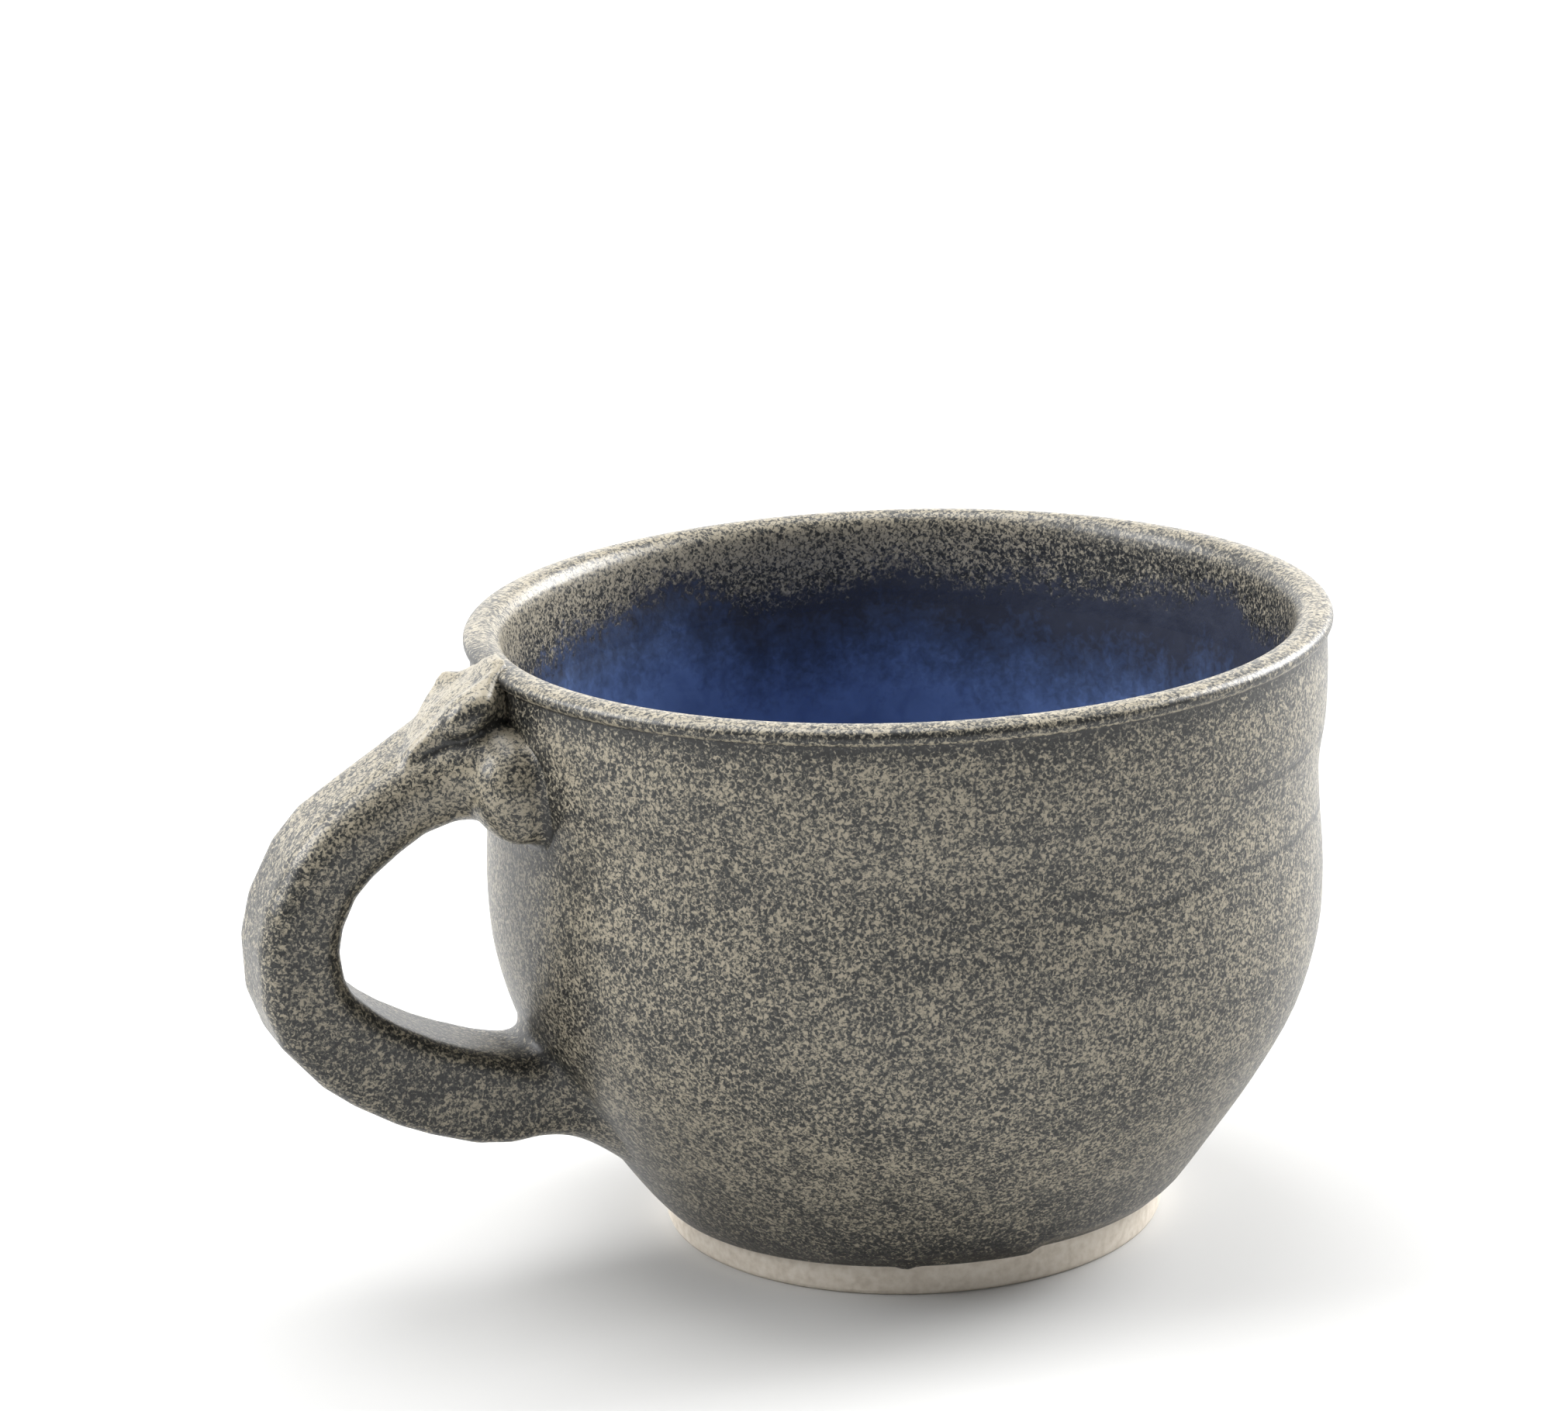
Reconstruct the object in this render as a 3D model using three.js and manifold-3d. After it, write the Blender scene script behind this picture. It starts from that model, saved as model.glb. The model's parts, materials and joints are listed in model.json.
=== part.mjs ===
// Hand-thrown stoneware espresso cup with a pulled strap handle.
// Millimetres, +Z up. The origin is the middle of the flat base, on the axis of the bowl.
// The handle lies along -X.
import * as THREE from 'three';
import { mergeVertices } from 'three/addons/utils/BufferGeometryUtils.js';
import Module from 'manifold-3d';

const wasm = await Module();
wasm.setup();

// Glazed bowl, outside: each ring of the wall lies in from the rim's radius, at a share of the height
const CUP_HEIGHT = 55.5;
const RIM_RADIUS = 38;
const LIP_RADIUS = 1.7;
const SHOULDER_IN = 0.45;
const WAIST_IN = 1.15;
const BELLY_IN = 0.85;
const FLARE_IN = 6.4;
const GLAZE_LINE_IN = 15;
const SHOULDER_HEIGHT = 0.872 * CUP_HEIGHT;
const WAIST_HEIGHT = 0.737 * CUP_HEIGHT;
const BELLY_HEIGHT = 0.584 * CUP_HEIGHT;
const FLARE_HEIGHT = 0.261 * CUP_HEIGHT;

// Bare turned foot
const FOOT_IN = 1;
const FOOT_BAND = 2.7;
const FOOT_CHAMFER = 0.5;

// Glazed bowl, inside
const WALL = 3.9;
const WELL_IN = 2.2;
const FLOOR_HEIGHT = 5.8;
const BAND_DEPTH = 10.8;

// Glaze coats, slip, and the clearance that each fitted piece keeps
const GLAZE = 0.5;
const SLIP = 0.6;
const FIT = 0.3;

// Pulled handle, bare clay
const FINGER_GAP = 15.3;
const STRAP_THICK = 5.8;
const STRAP_WIDE = 8.9;
const UPPER_ROOT_DROP = 8.3;
const UPPER_ROOT_THICK = 7.2;
const UPPER_ROOT_WIDE = 18.6;
const LOWER_ROOT_HEIGHT = 0.293 * CUP_HEIGHT;
const LOWER_ROOT_THICK = 7.6;
const LOWER_ROOT_WIDE = 11.4;
const STRAP_SQUARENESS = 2.5;

// Thumb rest pressed over the upper root, and the web of clay worked into the lower corner
const THUMB_LENGTH = 8.5;
const THUMB_WIDE = 9.6;
const THUMB_THICK = 1.9;
const THUMB_CURL = 1.0;
const THUMB_DROP = 5.0;
const WEB_RADIUS = 3.8;
const WEB_WIDE = 7.3;

// Facets
const TURN_STEPS = 40;
const STRAP_STEPS = 36;
const STRAP_SIDES = 18;

const COAT = GLAZE + FIT;
const SHOULDER_RADIUS = RIM_RADIUS - SHOULDER_IN;
const WAIST_RADIUS = RIM_RADIUS - WAIST_IN;
const BELLY_RADIUS = RIM_RADIUS - BELLY_IN;
const FLARE_RADIUS = RIM_RADIUS - FLARE_IN;
const GLAZE_LINE_RADIUS = RIM_RADIUS - GLAZE_LINE_IN;
const FOOT_RADIUS = GLAZE_LINE_RADIUS - FOOT_IN;
const WELL_RADIUS = FOOT_RADIUS - WELL_IN;
const UPPER_ROOT_HEIGHT = CUP_HEIGHT - UPPER_ROOT_DROP;

// Solids: a cleaned triangle mesh, and the joins and cuts between such meshes

function clean(geometry) {
  const bare = geometry.index ? geometry.clone() : geometry;
  bare.deleteAttribute('normal');
  bare.deleteAttribute('uv');
  const merged = mergeVertices(bare, 1e-4);
  const corners = merged.index.array;
  const place = merged.attributes.position;
  const kept = [];
  let volume = 0;
  const a = new THREE.Vector3();
  const b = new THREE.Vector3();
  const c = new THREE.Vector3();
  for (let i = 0; i < corners.length; i += 3) {
    const [p, q, r] = [corners[i], corners[i + 1], corners[i + 2]];
    if (p === q || q === r || r === p) continue;
    kept.push(p, q, r);
    a.fromBufferAttribute(place, p);
    b.fromBufferAttribute(place, q);
    c.fromBufferAttribute(place, r);
    volume += a.dot(b.cross(c));
  }
  if (volume < 0) {
    for (let i = 0; i < kept.length; i += 3) {
      [kept[i + 1], kept[i + 2]] = [kept[i + 2], kept[i + 1]];
    }
  }
  const out = new THREE.BufferGeometry();
  out.setAttribute('position', new THREE.Float32BufferAttribute(Float32Array.from(place.array), 3));
  out.setIndex(kept);
  return out;
}

function solid(geometry) {
  const tidy = clean(geometry);
  return new wasm.Manifold(new wasm.Mesh({
    numProp: 3,
    vertProperties: tidy.attributes.position.array,
    triVerts: Uint32Array.from(tidy.index.array),
  }));
}

// The one body that stays when a cut leaves crumbs beside it
function whole(manifold) {
  return manifold.decompose().reduce((best, next) => (next.volume() > best.volume() ? next : best));
}

function geometryOf(manifold) {
  const mesh = manifold.getMesh();
  const out = new THREE.BufferGeometry();
  out.setAttribute('position', new THREE.Float32BufferAttribute(mesh.vertProperties, 3));
  out.setIndex(Array.from(mesh.triVerts));
  return out;
}

// A closed skin over a row of rings that have the same number of points
function loft(rings) {
  const sides = rings[0].length;
  const places = [];
  const corners = [];
  for (const ring of rings) {
    for (const p of ring) places.push(p.x, p.y, p.z);
  }
  for (let i = 0; i + 1 < rings.length; i += 1) {
    for (let j = 0; j < sides; j += 1) {
      const a = i * sides + j;
      const b = i * sides + (j + 1) % sides;
      corners.push(a, b, b + sides, a, b + sides, a + sides);
    }
  }
  for (const [i, turn] of [[0, 1], [rings.length - 1, -1]]) {
    const middle = new THREE.Vector3();
    for (const p of rings[i]) middle.addScaledVector(p, 1 / sides);
    const hub = places.length / 3;
    places.push(middle.x, middle.y, middle.z);
    for (let j = 0; j < sides; j += 1) {
      const a = i * sides + j;
      const b = i * sides + (j + 1) % sides;
      if (turn > 0) corners.push(b, a, hub);
      else corners.push(a, b, hub);
    }
  }
  const out = new THREE.BufferGeometry();
  out.setAttribute('position', new THREE.Float32BufferAttribute(places, 3));
  out.setIndex(corners);
  return out;
}

// The glazed surface of the bowl as one line of (radius, height) points:
// up the outside from the glaze line, over the lip, and down the inside to the middle of the floor

const at = (radius, height) => new THREE.Vector2(radius, height);
const lipCentre = at(RIM_RADIUS - LIP_RADIUS, CUP_HEIGHT - LIP_RADIUS);

const outsideLine = new THREE.SplineCurve([
  at(GLAZE_LINE_RADIUS, FOOT_BAND),
  at((GLAZE_LINE_RADIUS + FLARE_RADIUS) / 2 + 0.6, (FOOT_BAND + FLARE_HEIGHT) / 2),
  at(FLARE_RADIUS, FLARE_HEIGHT),
  at(FLARE_RADIUS + 0.63 * (BELLY_RADIUS - FLARE_RADIUS), FLARE_HEIGHT + 0.35 * (BELLY_HEIGHT - FLARE_HEIGHT)),
  at(FLARE_RADIUS + 0.93 * (BELLY_RADIUS - FLARE_RADIUS), FLARE_HEIGHT + 0.68 * (BELLY_HEIGHT - FLARE_HEIGHT)),
  at(BELLY_RADIUS, BELLY_HEIGHT),
  at(WAIST_RADIUS, WAIST_HEIGHT),
  at(SHOULDER_RADIUS, SHOULDER_HEIGHT),
  at(SHOULDER_RADIUS, CUP_HEIGHT - 2 * LIP_RADIUS),
]).getPoints(13);

const lipLine = [];
for (let i = 0; i <= 6; i += 1) {
  const turn = THREE.MathUtils.degToRad(-25 + 205 * i / 6);
  lipLine.push(at(lipCentre.x + LIP_RADIUS * Math.cos(turn), lipCentre.y + LIP_RADIUS * Math.sin(turn)));
}

const bandEnd = at(WAIST_RADIUS - WALL + 0.7, CUP_HEIGHT - BAND_DEPTH);
const bandLine = [
  lipLine[lipLine.length - 1].clone().lerp(bandEnd, 0.45).add(at(-0.1, 0)),
  bandEnd,
];

const linerLine = new THREE.SplineCurve([
  at(bandEnd.x - 0.04, bandEnd.y - FIT),
  at(BELLY_RADIUS - WALL - 0.2, BELLY_HEIGHT + 2),
  at(FLARE_RADIUS + 0.63 * (BELLY_RADIUS - FLARE_RADIUS) - WALL - 0.7, FLARE_HEIGHT + 0.35 * (BELLY_HEIGHT - FLARE_HEIGHT)),
  at(WELL_RADIUS + 0.62 * (FLARE_RADIUS - WALL - WELL_RADIUS), FLOOR_HEIGHT + 0.5 * (FLARE_HEIGHT - FLOOR_HEIGHT)),
  at(WELL_RADIUS, FLOOR_HEIGHT + 2),
  at(WELL_RADIUS / 2, FLOOR_HEIGHT + 0.3),
  at(0, FLOOR_HEIGHT),
]).getPoints(11);

// Each point of a line moved to its left, which is into the clay, by the same depth
function inset(line, depth) {
  return line.map((p, i) => {
    const before = line[Math.max(i - 1, 0)];
    const after = line[Math.min(i + 1, line.length - 1)];
    const back = p.clone().sub(before).normalize();
    const ahead = after.clone().sub(p).normalize();
    const way = back.clone().add(ahead).normalize();
    const spread = i === 0 || i === line.length - 1 ? 1 : Math.max(way.dot(ahead), 0.8);
    const moved = at(p.x - way.y * depth / spread, p.y + way.x * depth / spread);
    if (p.x === 0) moved.x = 0;
    return moved;
  });
}

function turned(line) {
  return solid(new THREE.LatheGeometry(line, Math.round(TURN_STEPS)).rotateX(Math.PI / 2));
}

// A coat between two depths under the glazed line
function coat(line, near, far) {
  const face = inset(line, near);
  const back = inset(line, far).reverse();
  return turned([...face, ...back, face[0].clone()]);
}

// Thrown bowl: wall, lip, floor and turned foot in one piece of clay

const coatedLine = [...outsideLine, ...lipLine, ...bandLine];
const clayLine = inset([...coatedLine, ...linerLine], COAT);
const footLine = [
  at(0, 0),
  at(FOOT_RADIUS - FOOT_CHAMFER, 0),
  at(FOOT_RADIUS, FOOT_CHAMFER),
  at(FOOT_RADIUS + 0.15, FOOT_BAND),
];
const clayBowl = turned([...footLine, ...clayLine]);

// The whole space inside the outer surface of the clay, larger by a margin
function bowlSpace(margin) {
  const upTo = outsideLine.length + 4;
  const skin = inset(coatedLine, COAT - margin).slice(0, upTo);
  const top = skin[skin.length - 1];
  return turned([
    at(0, -1),
    at(FOOT_RADIUS + margin, -1),
    at(FOOT_RADIUS + 0.15 + margin, FOOT_BAND - margin),
    ...skin,
    at(0, top.y),
  ]);
}

// Pulled handle: how far out and how high the strap's middle runs, from the upper root to the lower,
// as shares of its reach and of the height between the roots, with its half sizes there

const reach = FINGER_GAP + STRAP_THICK / 2 + COAT;
const rise = UPPER_ROOT_HEIGHT - LOWER_ROOT_HEIGHT;
const strapBend = [
  [-0.20, 0.99, UPPER_ROOT_THICK / 2, UPPER_ROOT_WIDE / 2],
  [0.00, 0.99, UPPER_ROOT_THICK / 2, UPPER_ROOT_WIDE / 2],
  [0.135, 0.99, 0.52 * STRAP_THICK, 0.80 * STRAP_WIDE],
  [0.29, 0.975, 0.525 * STRAP_THICK, 0.52 * STRAP_WIDE],
  [0.475, 0.93, STRAP_THICK / 2, STRAP_WIDE / 2],
  [0.765, 0.81, 0.465 * STRAP_THICK, STRAP_WIDE / 2],
  [0.87, 0.745, 0.46 * STRAP_THICK, STRAP_WIDE / 2],
  [0.965, 0.635, 0.465 * STRAP_THICK, STRAP_WIDE / 2],
  [1.00, 0.54, 0.475 * STRAP_THICK, STRAP_WIDE / 2],
  [0.99, 0.42, STRAP_THICK / 2, STRAP_WIDE / 2],
  [0.94, 0.335, 0.52 * STRAP_THICK, STRAP_WIDE / 2],
  [0.80, 0.245, 0.54 * STRAP_THICK, STRAP_WIDE / 2],
  [0.51, 0.125, 0.56 * STRAP_THICK, STRAP_WIDE / 2],
  [0.19, 0.045, 0.56 * STRAP_THICK, STRAP_WIDE / 2],
  [-0.08, 0.018, 0.545 * STRAP_THICK, 0.505 * STRAP_WIDE],
  [-0.33, 0.00, LOWER_ROOT_THICK / 2, LOWER_ROOT_WIDE / 2],
  [-0.62, -0.02, LOWER_ROOT_THICK / 2, LOWER_ROOT_WIDE / 2],
];
const strapPath = new THREE.CatmullRomCurve3(strapBend.map(([out, up]) => new THREE.Vector3(
  -(BELLY_RADIUS + out * reach),
  0,
  LOWER_ROOT_HEIGHT + up * rise,
)));
const strapSizes = new THREE.CatmullRomCurve3(strapBend.map((row) => new THREE.Vector3(row[2], row[3], 0)));

const rounded = (value) => Math.sign(value) * Math.abs(value) ** (2 / STRAP_SQUARENESS);
const across = new THREE.Vector3(0, 1, 0);

function strap(margin) {
  const rings = [];
  const steps = Math.round(STRAP_STEPS);
  const sides = Math.round(STRAP_SIDES);
  for (let i = 0; i <= steps; i += 1) {
    const share = i / steps;
    const middle = strapPath.getPoint(share);
    const way = strapPath.getTangent(share);
    const outward = new THREE.Vector3().crossVectors(way, across);
    const half = strapSizes.getPoint(share);
    const ring = [];
    for (let j = 0; j < sides; j += 1) {
      const turn = 2 * Math.PI * j / sides;
      ring.push(middle.clone()
        .addScaledVector(outward, (half.x + margin) * rounded(Math.sin(turn)))
        .addScaledVector(across, (half.y + margin) * rounded(Math.cos(turn))));
    }
    rings.push(ring);
  }
  return solid(loft(rings));
}

// Thumb rest: a pad bent down from the lip to the crest of the strap, crowned, with its two edges curled down

const thumbTop = new THREE.Vector3(-(RIM_RADIUS - LIP_RADIUS), 0, CUP_HEIGHT - COAT - THUMB_THICK / 2);
const thumbBend = [
  [0.00, 0.00, 0.50, 0.26, 0.1],
  [0.34, 0.30, 0.54, 0.48, 0.9],
  [0.65, 0.62, 0.52, 0.48, 1.0],
  [1.00, 1.00, 0.24, 0.20, 0.0],
];
const thumbPath = new THREE.CatmullRomCurve3(thumbBend.map(([out, down]) => (
  thumbTop.clone().add(new THREE.Vector3(-out * THUMB_LENGTH, 0, -down * THUMB_DROP))
)));
const thumbSizes = new THREE.CatmullRomCurve3(thumbBend.map(([, , thick, wide, curl]) => (
  new THREE.Vector3(thick * THUMB_THICK, wide * THUMB_WIDE, curl * THUMB_CURL)
)));

function thumbPad(margin) {
  const rings = [];
  const steps = 9;
  const sides = 16;
  for (let i = 0; i <= steps; i += 1) {
    const share = i / steps;
    const way = thumbPath.getTangent(share);
    const outward = new THREE.Vector3().crossVectors(way, across);
    const middle = thumbPath.getPoint(share);
    if (i === 0) middle.addScaledVector(way, -margin);
    if (i === steps) middle.addScaledVector(way, margin);
    const half = thumbSizes.getPoint(share);
    const ring = [];
    for (let j = 0; j < sides; j += 1) {
      const turn = 2 * Math.PI * j / sides;
      const wing = Math.cos(turn) ** 2 - 0.5;
      ring.push(middle.clone()
        .addScaledVector(outward, (half.x + margin) * Math.sin(turn) + half.z * wing)
        .addScaledVector(across, (half.y + margin) * Math.cos(turn)));
    }
    rings.push(ring);
  }
  return solid(loft(rings));
}

// Web: a roll of clay smoothed to a hollow curve in the corner between the lower arm and the wall

function cornerWeb(margin) {
  const steps = 8;
  const bends = 8;
  const rings = [];
  const out = BELLY_RADIUS + 0.085 * reach;
  const up = LOWER_ROOT_HEIGHT + 0.03 * rise + 0.55 * STRAP_THICK + 0.82 * WEB_RADIUS;
  const deep = out - 1.5 * WEB_RADIUS;
  const low = up - 1.5 * WEB_RADIUS;
  for (let i = 0; i <= steps; i += 1) {
    const share = 2 * i / steps - 1;
    const side = share * (WEB_WIDE / 2 + margin);
    const shrink = 0.35 * WEB_RADIUS * share * share;
    const ring = [new THREE.Vector3(-deep, side, low), new THREE.Vector3(-deep, side, up - shrink)];
    for (let j = 0; j <= bends; j += 1) {
      const turn = Math.PI + Math.PI / 2 * j / bends;
      const size = WEB_RADIUS - margin;
      ring.push(new THREE.Vector3(
        -(out - shrink + size * Math.cos(turn)),
        side,
        up - shrink + size * Math.sin(turn),
      ));
    }
    ring.push(new THREE.Vector3(-(out - shrink), side, low));
    rings.push(ring);
  }
  return solid(loft(rings));
}

// Fitting: the handle is luted to the bare wall through two slip layers, the thumb rest and the web
// are pressed on afterwards, and the outer coat covers them all

const rootStandOff = FIT + SLIP + FIT;
const clayHandle = whole(strap(0).subtract(bowlSpace(rootStandOff)));

function luted(lowest, highest) {
  const layer = coat(outsideLine, COAT - FIT - SLIP, COAT - FIT);
  const cut = layer.intersect(strap(-FIT));
  const half = turned([at(0, lowest), at(2 * RIM_RADIUS, lowest), at(2 * RIM_RADIUS, highest), at(0, highest)]);
  return whole(cut.intersect(half));
}
const between = (UPPER_ROOT_HEIGHT + LOWER_ROOT_HEIGHT) / 2;
const upperSlip = luted(between, CUP_HEIGHT);
const lowerSlip = luted(0, between);

const thumbRest = whole(thumbPad(0).subtract(strap(FIT)).subtract(bowlSpace(FIT)));
const rootWeb = whole(cornerWeb(0).subtract(strap(FIT)).subtract(bowlSpace(FIT)));

const applied = (margin) => strap(margin).add(thumbPad(margin)).add(cornerWeb(margin));
const outerGlaze = whole(coat(coatedLine, 0, GLAZE)
  .add(applied(COAT).subtract(bowlSpace(FIT)))
  .subtract(applied(FIT).subtract(bowlSpace(-FIT))));

const linerGlaze = coat(linerLine, 0, GLAZE);

// Scene graph

const bareClay = { color: 0xb9b0a2, roughness: 0.9, metalness: 0 };
const looks = {
  clay: new THREE.MeshStandardMaterial(bareClay),
  handle: new THREE.MeshStandardMaterial(bareClay),
  pad: new THREE.MeshStandardMaterial(bareClay),
  web: new THREE.MeshStandardMaterial(bareClay),
  upperSlip: new THREE.MeshStandardMaterial({ color: 0xa89d8c, roughness: 0.95, metalness: 0 }),
  lowerSlip: new THREE.MeshStandardMaterial({ color: 0xa89d8c, roughness: 0.95, metalness: 0 }),
  outside: new THREE.MeshStandardMaterial({ color: 0x7d7a70, roughness: 0.55, metalness: 0 }),
  inside: new THREE.MeshStandardMaterial({ color: 0x2c4268, roughness: 0.35, metalness: 0 }),
};

function piece(name, manifold, look) {
  const mesh = new THREE.Mesh(geometryOf(manifold), look);
  mesh.name = name;
  return mesh;
}

const cup = new THREE.Group();
const bowl = new THREE.Group();
bowl.add(piece('clay_bowl', clayBowl, looks.clay));
bowl.add(piece('liner_glaze', linerGlaze, looks.inside));
const handle = new THREE.Group();
handle.add(piece('clay_handle', clayHandle, looks.handle));
handle.add(piece('thumb_rest', thumbRest, looks.pad));
handle.add(piece('lower_root_web', rootWeb, looks.web));
handle.add(piece('upper_slip_joint', upperSlip, looks.upperSlip));
handle.add(piece('lower_slip_joint', lowerSlip, looks.lowerSlip));
cup.add(bowl, handle, piece('outer_glaze', outerGlaze, looks.outside));

export default cup;
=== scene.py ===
import json
import math

import bpy
import numpy as np
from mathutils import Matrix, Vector
from mathutils.geometry import interpolate_bezier
from mathutils.kdtree import KDTree

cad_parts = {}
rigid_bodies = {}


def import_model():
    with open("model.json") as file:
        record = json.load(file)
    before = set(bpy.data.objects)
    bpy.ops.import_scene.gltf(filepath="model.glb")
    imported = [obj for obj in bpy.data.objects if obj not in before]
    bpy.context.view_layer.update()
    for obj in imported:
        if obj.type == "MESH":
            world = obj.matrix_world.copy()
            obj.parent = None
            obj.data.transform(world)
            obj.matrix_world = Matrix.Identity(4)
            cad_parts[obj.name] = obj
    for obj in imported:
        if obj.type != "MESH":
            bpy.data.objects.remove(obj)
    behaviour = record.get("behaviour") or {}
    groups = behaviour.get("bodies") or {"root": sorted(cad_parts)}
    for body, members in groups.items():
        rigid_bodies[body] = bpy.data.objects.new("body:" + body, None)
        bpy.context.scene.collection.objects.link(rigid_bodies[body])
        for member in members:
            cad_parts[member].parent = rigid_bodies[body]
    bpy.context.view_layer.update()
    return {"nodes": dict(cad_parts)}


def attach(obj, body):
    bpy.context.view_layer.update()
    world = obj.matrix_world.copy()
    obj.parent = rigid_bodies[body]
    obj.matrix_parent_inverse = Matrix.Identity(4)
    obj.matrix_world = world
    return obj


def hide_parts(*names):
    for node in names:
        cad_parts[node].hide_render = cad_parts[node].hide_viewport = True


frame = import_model()

# Thrown bowl
# The wall, lip, floor and turned foot are one piece of buff stoneware, thrown on the wheel.
# Only the low foot stays bare; the glazes cover the rest of it.

MM = 0.001
WHEEL_STEPS = 256
SEAM = 2e-6
LINE_STEPS = 4
LIP_STEPS = 3
GLAZE_TO_CLAY = 0.8
BAND_END = 44.0
CLAY_TONES = [(0.3, (0.60, 0.535, 0.45)), (0.5, (0.68, 0.615, 0.525)), (0.7, (0.74, 0.68, 0.595))]
CLAY_GRAIN = 1400
CLAY_ROUGHNESS = 0.85
TURNING_MARKS = 900
TURNING_STRETCH = (0.15, 0.15, 3.0)
TURNING_STRENGTH = 0.35
TURNING_DEPTH = 0.00012

# Outlines of (radius, height) points in millimetres
outside_points = [
    (23.5, 3.2), (25.1, 5.0), (27.85, 8.9), (31.6, 14.45), (34.95, 20.55), (36.7, 26.6), (37.1, 32.2),
    (36.85, 37.7), (36.8, 42.0), (37.4, 46.0), (37.6, 49.6), (37.6, 52.2), (37.58, 53.6), (37.6, 54.0),
]
lip_points = [
    (37.86, 54.18), (38.04, 54.45), (38.08, 54.85), (37.85, 55.25), (37.3, 55.5), (36.3, 55.58),
    (35.5, 55.3), (34.9, 54.6), (34.62, 53.6),
]
band_points = [(34.45, 51.4), (34.04, 48.0), (33.8, 44.6)]
well_points = [
    (34.1, 48.0), (33.7, 44.6), (33.45, 40.0), (32.95, 34.0), (31.9, 26.5), (30.1, 19.5), (26.9, 12.8),
    (23.2, 9.1), (17.5, 7.2), (9.5, 6.1), (0.0, 5.8),
]
clay_lip = [(36.74, 54.4), (36.4, 54.7), (36.05, 54.72), (35.75, 54.5), (35.55, 54.0), (35.42, 53.0)]
foot_points = [(0.0, 0.0), (21.9, 0.0), (22.25, 0.12), (22.42, 0.5), (22.5, 1.5), (22.6, 3.2)]


def smooth_line(points, steps):
    """A smooth line through (radius, height) points, with that many steps to each span."""
    line = [Vector((*p, 0.0)) for p in points]
    ends = [2 * line[0] - line[1], *line, 2 * line[-1] - line[-2]]
    smooth = []
    for before, start, end, after in zip(ends, ends[1:], ends[2:], ends[3:]):
        away = start + (end - before) / 6
        back = end - (after - start) / 6
        smooth += interpolate_bezier(start, away, back, end, steps + 1)[:-1]
    smooth.append(line[-1])
    return [(p.x, p.y) for p in smooth]


def inset_line(line, depth):
    """The line moved to its left, which is into the clay."""
    moved = []
    for i, (radius, height) in enumerate(line):
        before = line[max(i - 1, 0)]
        after = line[min(i + 1, len(line) - 1)]
        along = Vector((after[0] - before[0], after[1] - before[1])).normalized()
        moved.append((radius - along.y * depth if radius > 0 else 0.0, height + along.x * depth))
    return moved


def thrown(name, outline, turn=360):
    """Draws an outline of (radius, height) points by extruding a vertex, and spins it round the axis."""
    bpy.ops.object.select_all(action="DESELECT")
    bpy.ops.mesh.primitive_plane_add(size=MM, location=(0, 0, 0))
    piece = bpy.context.object
    piece.name = name
    bpy.ops.object.mode_set(mode="EDIT")
    bpy.ops.mesh.select_all(action="SELECT")
    bpy.ops.mesh.merge(type="CENTER")
    bpy.ops.transform.translate(value=(outline[0][0] * MM, 0, outline[0][1] * MM))
    for (r0, z0), (r1, z1) in zip(outline, outline[1:]):
        move = ((r1 - r0) * MM, 0, (z1 - z0) * MM)
        bpy.ops.mesh.extrude_vertices_move(TRANSFORM_OT_translate={"value": move})
    bpy.ops.mesh.select_all(action="SELECT")
    bpy.ops.mesh.spin(
        steps=round(WHEEL_STEPS * turn / 360), angle=math.radians(turn), center=(0, 0, 0), axis=(0, 0, 1),
    )
    bpy.ops.mesh.select_all(action="SELECT")
    bpy.ops.mesh.remove_doubles(threshold=SEAM)
    bpy.ops.mesh.normals_make_consistent(inside=False)
    bpy.ops.object.mode_set(mode="OBJECT")
    bpy.ops.object.shade_smooth()
    return piece


outside_line = smooth_line(outside_points, LINE_STEPS)
band_line = smooth_line(band_points, LIP_STEPS)
glazed_line = outside_line + smooth_line(lip_points, LIP_STEPS) + band_line
well_line = smooth_line(well_points, LINE_STEPS)
inside_line = band_line + [point for point in well_line if point[1] < BAND_END]
clay_line = inset_line(outside_line, GLAZE_TO_CLAY) + clay_lip + inset_line(inside_line, GLAZE_TO_CLAY)
thrown_clay = thrown("thrown_clay", foot_points + clay_line)


def new_finish(name):
    """A node material, with its tree and its shader."""
    finish = bpy.data.materials.new(name)
    finish.use_nodes = True
    return finish, finish.node_tree, finish.node_tree.nodes["Principled BSDF"]


def noise(tree, place, scale, detail=2.0, distortion=0.0, stretch=(1, 1, 1)):
    """A noise of about that many features to the metre, drawn out along an axis where stretch is under 1."""
    spread = tree.nodes.new("ShaderNodeMapping")
    spread.inputs["Scale"].default_value = stretch
    tree.links.new(place, spread.inputs["Vector"])
    grain = tree.nodes.new("ShaderNodeTexNoise")
    grain.inputs["Scale"].default_value = scale
    grain.inputs["Detail"].default_value = detail
    grain.inputs["Distortion"].default_value = distortion
    tree.links.new(spread.outputs["Vector"], grain.inputs["Vector"])
    return grain.outputs["Fac"]


def ramp(tree, amount, stops):
    """A colour for each stop of (amount, colour), blended between them."""
    blend = tree.nodes.new("ShaderNodeValToRGB")
    while len(blend.color_ramp.elements) < len(stops):
        blend.color_ramp.elements.new(1.0)
    for element, (position, colour) in zip(blend.color_ramp.elements, stops):
        element.position = position
        element.color = (*colour, 1.0)
    tree.links.new(amount, blend.inputs["Fac"])
    return blend.outputs["Color"]


def relief(tree, shader, height, strength, depth):
    """A fine relief on the shader's normal, of that depth in metres."""
    bump = tree.nodes.new("ShaderNodeBump")
    bump.inputs["Strength"].default_value = strength
    bump.inputs["Distance"].default_value = depth
    tree.links.new(height, bump.inputs["Height"])
    tree.links.new(bump.outputs["Normal"], shader.inputs["Normal"])


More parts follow.
